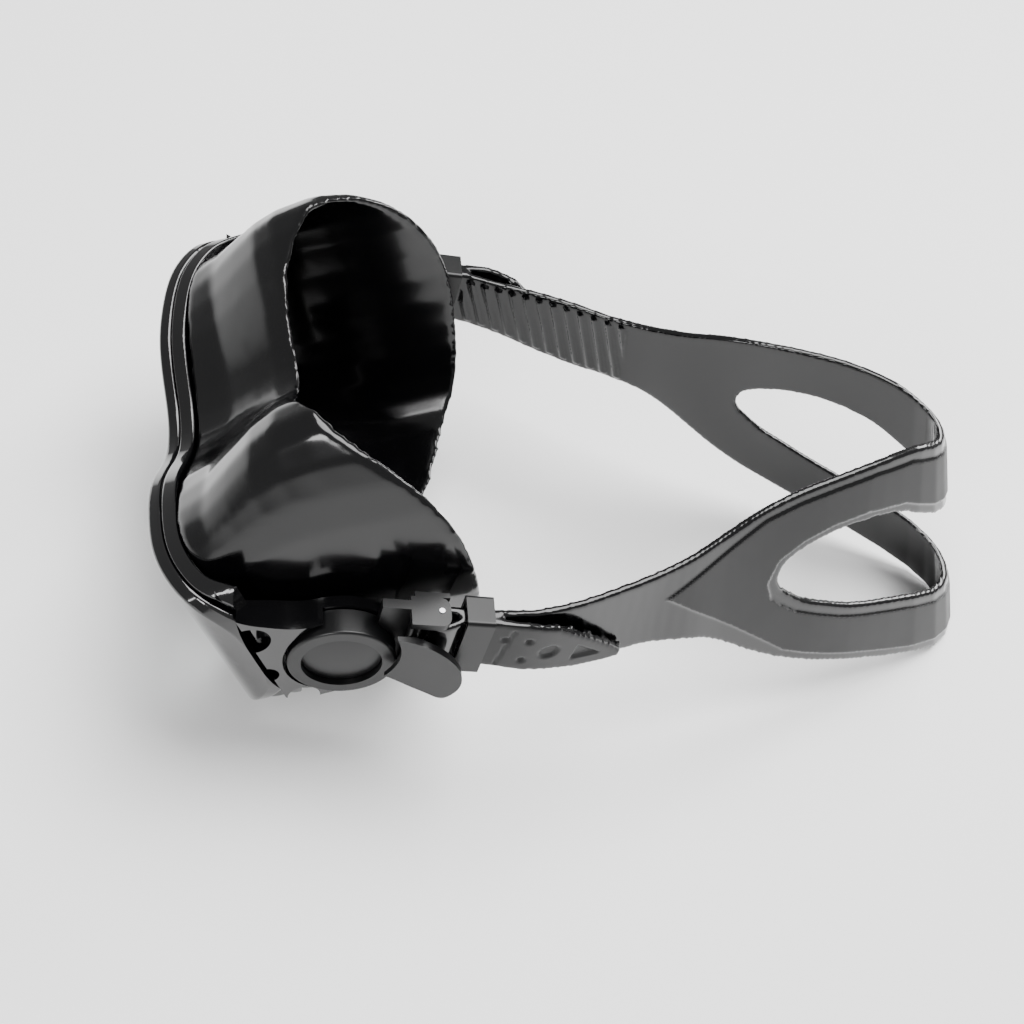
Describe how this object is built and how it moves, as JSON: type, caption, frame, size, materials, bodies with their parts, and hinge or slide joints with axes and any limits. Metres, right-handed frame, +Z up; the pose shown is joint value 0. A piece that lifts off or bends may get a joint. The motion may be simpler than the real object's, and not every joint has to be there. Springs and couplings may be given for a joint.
{
  "type": "diving mask",
  "caption": "Low-volume diving mask with paired flat lenses, silicone skirt, swivel quick-release buckles and a split strap.",
  "frame": {"origin": "middle of the bounding box, on the ground the mask lies on", "axes": "+X to the wearer's left, +Y from the lenses to the back of the strap, +Z up"},
  "size_m": [0.1584, 0.2942, 0.1162],
  "materials": {
    "frame_gloss": "polished moulded polycarbonate, black",
    "silicone": "glossy moulded silicone, black",
    "lens_glass": "clear tempered glass",
    "satin_plastic": "satin moulded nylon, black",
    "steel": "plain stainless pin stock"
  },
  "bodies": {
    "mask": {"main_frame": "frame_gloss", "bezel": "frame_gloss", "skirt": "silicone", "lens_left": "lens_glass", "lens_right": "lens_glass", "hub_cap_left": "satin_plastic", "hub_cap_right": "satin_plastic", "hub_screw_left": "steel", "hub_screw_right": "steel"},
    "strap_assembly": {"strap": "silicone", "buckle_body_left": "satin_plastic", "buckle_body_right": "satin_plastic", "strap_keeper_left": "satin_plastic", "strap_keeper_right": "satin_plastic", "lever_pin_left": "steel", "lever_pin_right": "steel", "lever_spring_left": "steel", "lever_spring_right": "steel", "roller_pin_left": "steel", "roller_pin_right": "steel"},
    "lever_left": {"release_lever_left": "satin_plastic"},
    "lever_right": {"release_lever_right": "satin_plastic"},
    "roller_left": {"strap_roller_left": "satin_plastic"},
    "roller_right": {"strap_roller_right": "satin_plastic"}
  },
  "joints": [
    {"name": "strap_swivel", "type": "hinge", "parent": "mask", "child": "strap_assembly", "pos_m": [0, -0.09137, 0.05262], "axis": [1, 0, 0], "range_deg": [-45, 25]},
    {"name": "lever_hinge_left", "type": "hinge", "parent": "strap_assembly", "child": "lever_left", "pos_m": [0.073, -0.07384, 0.06117], "axis": [0, 0.0198, -0.9998], "range_deg": [0, 15], "stiffness_Nm_per_rad": 0.03, "springref_deg": -20.05},
    {"name": "lever_hinge_right", "type": "hinge", "parent": "strap_assembly", "child": "lever_right", "pos_m": [-0.073, -0.07384, 0.06117], "axis": [0, -0.0198, 0.9998], "range_deg": [0, 15], "stiffness_Nm_per_rad": 0.03, "springref_deg": -20.05},
    {"name": "roller_spin_left", "type": "hinge", "parent": "strap_assembly", "child": "roller_left", "pos_m": [0.0706, -0.06714, 0.0613], "axis": [0, -0.0198, 0.9998], "continuous": true},
    {"name": "roller_spin_right", "type": "hinge", "parent": "strap_assembly", "child": "roller_right", "pos_m": [-0.0706, -0.06714, 0.0613], "axis": [0, -0.0198, 0.9998], "continuous": true}
  ]
}
